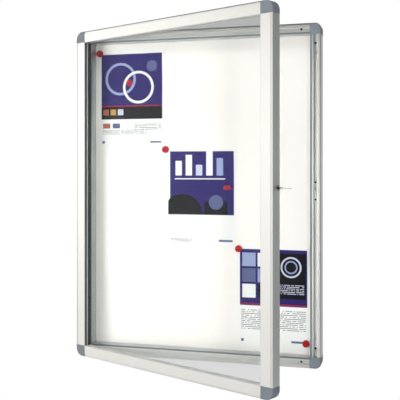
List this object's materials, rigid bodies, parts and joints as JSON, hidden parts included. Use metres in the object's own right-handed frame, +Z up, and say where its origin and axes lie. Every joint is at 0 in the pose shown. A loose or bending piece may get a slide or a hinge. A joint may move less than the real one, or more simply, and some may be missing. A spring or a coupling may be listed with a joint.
{
  "type": "lockable notice board",
  "caption": "Portrait wall-hung lockable showcase: shallow aluminium case with white magnetic back, glazed door hinged on the left, grey corner caps, cylinder lock with key in the door edge.",
  "frame": {"origin": "centre of the four wall fixing holes, in the plane of the wall", "axes": "+X to the right as seen from the front, +Y into the wall, +Z up; the door is hinged on the left and stands 25 degrees open at rest"},
  "size_m": [0.7374, 0.3828, 0.98],
  "materials": {
    "frame_aluminium": "satin silver anodised",
    "corner_plastic": "fine moulded grey",
    "connector_zinc": "die-cast zinc",
    "screw_steel": "zinc plated",
    "panel_lacquer": "smooth white lacquer",
    "backing_fibreboard": "hard fibreboard",
    "seal_rubber": "grey rubber",
    "printed_paper": "coated printed paper",
    "magnet_plastic": "red moulded",
    "gasket_rubber": "dark grey rubber",
    "bead_pvc": "light grey extruded",
    "bead_rubber": "black rubber",
    "glazing_foam": "light grey foam tape",
    "clear_glass": "clear float glass",
    "zinc_plated_steel": "zinc plated",
    "nickel_plated_brass": "nickel plated",
    "key_plastic": "black moulded"
  },
  "bodies": {
    "case": {"back_panel": "panel_lacquer", "backing_board": "backing_fibreboard", "case_bottom_profile": "frame_aluminium", "case_bottom_seal": "seal_rubber", "case_cap_bottom_left": "corner_plastic", "case_cap_bottom_right": "corner_plastic", "case_cap_top_left": "corner_plastic", "case_cap_top_right": "corner_plastic", "case_connector_bottom_left": "connector_zinc", "case_connector_bottom_right": "connector_zinc", "case_connector_screws": "screw_steel", "case_connector_top_left": "connector_zinc", "case_connector_top_right": "connector_zinc", "case_left_profile": "frame_aluminium", "case_left_seal": "seal_rubber", "case_right_profile": "frame_aluminium", "case_right_seal": "seal_rubber", "case_top_profile": "frame_aluminium", "case_top_seal": "seal_rubber", "hinge_case_leaf_lower": "zinc_plated_steel", "hinge_case_leaf_upper": "zinc_plated_steel", "hinge_case_screws": "screw_steel", "hinge_pin_lower": "zinc_plated_steel", "hinge_pin_upper": "zinc_plated_steel", "magnets": "magnet_plastic", "paper_sheet_1": "printed_paper", "paper_sheet_2": "printed_paper", "paper_sheet_3": "printed_paper", "strike_plate": "zinc_plated_steel", "strike_screws": "screw_steel"},
    "door": {"door_bottom_rail": "frame_aluminium", "door_cap_bottom_left": "corner_plastic", "door_cap_bottom_right": "corner_plastic", "door_cap_top_left": "corner_plastic", "door_cap_top_right": "corner_plastic", "door_connector_bottom_left": "connector_zinc", "door_connector_bottom_right": "connector_zinc", "door_connector_screws": "screw_steel", "door_connector_top_left": "connector_zinc", "door_connector_top_right": "connector_zinc", "door_hinge_stile": "frame_aluminium", "door_lock_stile": "frame_aluminium", "door_top_rail": "frame_aluminium", "front_gasket": "gasket_rubber", "glass_pane": "clear_glass", "glazing_bead_bottom": "bead_pvc", "glazing_bead_left": "bead_rubber", "glazing_bead_right": "bead_pvc", "glazing_bead_top": "bead_pvc", "glazing_tape": "glazing_foam", "hinge_door_leaf_lower": "zinc_plated_steel", "hinge_door_leaf_upper": "zinc_plated_steel", "hinge_door_screws": "screw_steel", "lock_barrel": "nickel_plated_brass", "lock_nut": "zinc_plated_steel"},
    "lock_core": {"lock_plug": "nickel_plated_brass", "lock_hook": "zinc_plated_steel", "hook_screw": "screw_steel"},
    "key": {"key": "nickel_plated_brass", "key_grip": "key_plastic"}
  },
  "joints": [
    {"name": "door_hinge", "type": "hinge", "parent": "case", "child": "door", "pos_m": [-0.3595, -0.055, 0], "axis": [0, 0, -1], "range_deg": [-25, 90]},
    {"name": "lock_turn", "type": "hinge", "parent": "door", "child": "lock_core", "pos_m": [0.29712, -0.36119, 0.0286], "axis": [0.9063, -0.4226, 0], "range_deg": [0, 90]},
    {"name": "key_slide", "type": "slide", "parent": "lock_core", "child": "key", "axis": [0.9063, -0.4226, 0], "range_m": [0, 0.018]}
  ]
}
